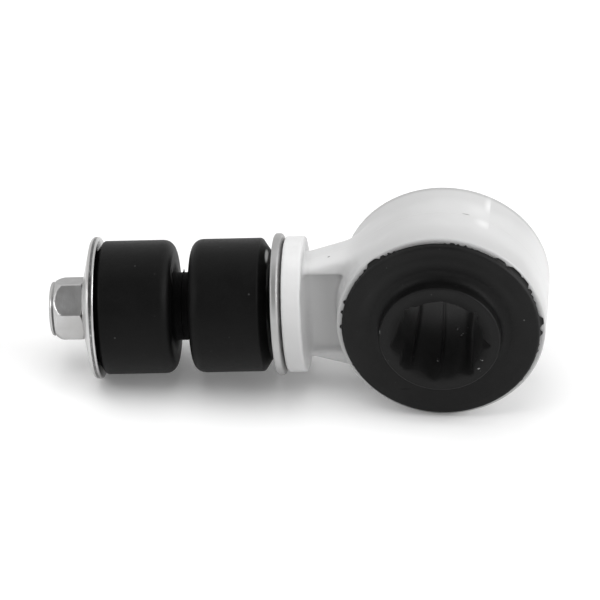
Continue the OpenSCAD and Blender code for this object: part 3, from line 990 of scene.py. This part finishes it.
# %% Thread of the stud
PITCH = 1.25
THREAD_START = 34.6
stud_tip = -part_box("stud")[0].x / MM


def grown(name, tree, values):
    """Runs a Geometry Nodes tree on an empty mesh and keeps the result as a plain mesh object."""
    seed = bpy.data.objects.new(name + "_nodes", bpy.data.meshes.new(name + "_nodes"))
    bpy.context.scene.collection.objects.link(seed)
    modifier = seed.modifiers.new("nodes", "NODES")
    modifier.node_group = tree
    sockets = {item.name: item.identifier for item in tree.interface.items_tree if item.in_out == "INPUT"}
    for key, value in values.items():
        modifier[sockets[key]] = value
    depsgraph = bpy.context.evaluated_depsgraph_get()
    mesh = bpy.data.meshes.new_from_object(seed.evaluated_get(depsgraph))
    mesh.name = name
    bpy.data.objects.remove(seed)
    piece = bpy.data.objects.new(name, mesh)
    bpy.context.scene.collection.objects.link(piece)
    print(name, len(mesh.polygons), "faces from Geometry Nodes")
    return piece


ridge_radius = STUD_RADIUS - PITCH / 2
thread_length = stud_tip - THREAD_START - PITCH
stud_thread = grown("stud_thread", ridge_tree, {
    "Turns": thread_length / PITCH, "Length": thread_length * MM, "Radius": ridge_radius * MM,
    "Ridge": PITCH / 2 * MM, "Start": (-THREAD_START * MM, 0.0, 0.0), "Material": nut_zinc})
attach(stud_thread, "link")

# %% [markdown]
# The rod under the thread is as thick as the thread's root. Its end is rounded, so that a nut finds
# its way on. A short plain shank fills the hole in the link that the stud comes out of.

# %% Core of the stud
shank_radius = STUD_RADIUS - 0.1
shank_start = THREAD_START - 2.0
stud_core = turned("stud_core", [
    (0, shank_start, 0),
    (shank_radius, shank_start, 0.1),
    (shank_radius, THREAD_START - 0.2, 0.1),
    (ridge_radius, THREAD_START + 0.3, 0.1),
    (ridge_radius, stud_tip, 0.6),
    (0, stud_tip, 0),
], "stud", nut_zinc, COLUMNS // 3)
dress(stud_core, "link", "stud")

# %% [markdown]
# The link lies on a white table. It rests on the eye ring and on the outer washer's rim, and because
# these differ in radius the stud slopes. The solids keep their square axes, so here the table slopes
# instead: its plane is the line through the washer's lowest edge that just touches the ring. The table
# glows a little where it is seen, so that it meets the backdrop without an edge, but that glow and part
# of its white are kept from the light that fills shadows.

# %% Table
TABLE_SIZE = 6.0
TABLE_GLOW = 0.12
TABLE_GREYS = (0.7, 0.92)
washer_edge = np.array([-(outer_rim + WASHER_SHEET), -WASHER_RADIUS])
to_eye = math.atan2(-washer_edge[1], -washer_edge[0])
table_tilt = to_eye - math.asin(eye_radius / np.linalg.norm(washer_edge))
print("table tilt in degrees", math.degrees(table_tilt))

bpy.ops.mesh.primitive_plane_add(size=TABLE_SIZE)
table = bpy.context.object
table.name = "table"
table.rotation_euler = (0, -table_tilt, 0)
table.location = (washer_edge[0] * MM, 0, washer_edge[1] * MM)


def seen_directly(tree):
    """1 for rays from the camera, a mirror image or through glass, and 0 for light that fills shadows."""
    path = node(tree, "ShaderNodeLightPath", {}, {})
    return (path["Is Camera Ray"] + path["Is Glossy Ray"] + path["Is Transmission Ray"]).ramp(0.0, 1.0)


def make_table_white():
    """Dull white that is brighter to the eye than to the light that it throws back."""
    finish = Finish("white_table", {"Roughness": 0.9, "Specular IOR Level": 0.0,
                                    "Emission Strength": TABLE_GLOW})
    direct = seen_directly(finish.tree)
    finish.feed(Base_Color=finish.mix(direct, grey(TABLE_GREYS[0]), grey(TABLE_GREYS[1])),
                Emission_Color=finish.mix(direct, grey(0.0), grey(1.0)))
    return finish.material


table.data.materials.append(make_table_white())

# %% [markdown]
# Soft studio light: a wide lamp overhead, one at each side, and a low one at the right that brightens
# the edge of the white eye. Reflections don't see the lamp overhead, because the black rubber and the
# bright washers would show it as a hard patch.

# %% Light
def softbox(name, place, aim, size, power):
    """An area lamp that faces its aim; places and sizes are in metres and power in watts."""
    lamp = bpy.data.lights.new(name, "AREA")
    lamp.shape = "RECTANGLE"
    lamp.size, lamp.size_y = size
    lamp.energy = power
    box = bpy.data.objects.new(name, lamp)
    box.location = place
    box.rotation_euler = (Vector(aim) - Vector(place)).to_track_quat("-Z", "Y").to_euler()
    bpy.context.scene.collection.objects.link(box)
    return box


centre = (-0.033, 0.0, 0.0)
overhead = softbox("overhead_softbox", (-0.1, -0.05, 0.95), centre, (1.1, 0.9), 7.0)
overhead.visible_glossy = False
softbox("right_softbox", (0.85, -0.4, 0.7), centre, (0.8, 0.8), 3.0)
softbox("rim_softbox", (1.0, 0.1, 0.25), centre, (0.5, 0.5), 5.0)
softbox("left_softbox", (-0.75, -0.5, 0.75), centre, (0.4, 0.4), 2.0)
print("lamps in watts", {lamp.name: round(lamp.energy, 2) for lamp in bpy.data.lights})

# %% [markdown]
# Black rubber and bright metal show what stands before them, and in front of a studio table that is
# a dim room. A grey card stands for it. Only reflections see the card, so it neither lights the link
# nor casts a shadow, but the rubber turns from pure black to a soft dark grey.

# %% Grey card
CARD_LEVEL = 0.21
CARD_SIZE = 1.1
CARD_PLACE = (0.0, -0.5, 0.72)
bpy.ops.mesh.primitive_plane_add(size=CARD_SIZE)
grey_card = bpy.context.object
grey_card.name = "grey_card"
grey_card.location = CARD_PLACE
grey_card.rotation_euler = (Vector(centre) - grey_card.location).to_track_quat("Z", "Y").to_euler()
for kind in ("camera", "diffuse", "shadow", "transmission", "volume_scatter"):
    setattr(grey_card, "visible_" + kind, False)
card_finish = Finish("grey_card", {"Base Color": grey(0.0), "Specular IOR Level": 0.0,
                                   "Emission Color": grey(1.0), "Emission Strength": CARD_LEVEL})
grey_card.data.materials.append(card_finish.material)
print("grey card at", tuple(grey_card.location), "level", CARD_LEVEL)

# %% [markdown]
# The world is plain white where the camera or a mirror image sees it, which makes the backdrop. For
# light that fills shadows it is much weaker, or the soft shadow under the link would wash out.

# %% World
FILL = 0.28
world = bpy.data.worlds.new("studio")
bpy.context.scene.world = world
world.use_nodes = True
sky = world.node_tree
strength = seen_directly(sky) * (1 - FILL) + FILL
background = sky.nodes["Background"]
background.inputs["Color"].default_value = grey(1.0)
sky.links.new(strength.socket, background.inputs["Strength"])
print("world fill", FILL)

# %% [markdown]
# The camera's place was worked out from ellipses and edges in the photograph: its turn, height and
# lean, its distance, and how far it is aimed beside the eye's centre.

# %% Camera
AZIMUTH, ELEVATION, LEAN = (math.radians(a) for a in (6.98, 32.62, -4.95))
DISTANCE = 1502.2
AIM_RIGHT, AIM_UP = -32.71, 0.16
LENS = 396.15
SENSOR = 36.0

level_back = Vector((math.sin(AZIMUTH), -math.cos(AZIMUTH), 0))
back = level_back * math.cos(ELEVATION) + Vector((0, 0, math.sin(ELEVATION)))
level_right = Vector((math.cos(AZIMUTH), math.sin(AZIMUTH), 0))
level_up = back.cross(level_right)
right = level_right * math.cos(LEAN) + level_up * math.sin(LEAN)
up = back.cross(right)
camera_data = bpy.data.cameras.new("camera")
camera_data.sensor_width = SENSOR
camera_data.lens = LENS
camera = bpy.data.objects.new("camera", camera_data)
turn = Matrix((right, up, back)).transposed().to_4x4()
place = (back * DISTANCE + right * AIM_RIGHT + up * AIM_UP) * MM
camera.matrix_world = Matrix.Translation(place) @ turn
bpy.context.scene.collection.objects.link(camera)
bpy.context.scene.camera = camera
bpy.context.scene.view_settings.view_transform = "Standard"
print("camera at", tuple(round(value, 3) for value in place))
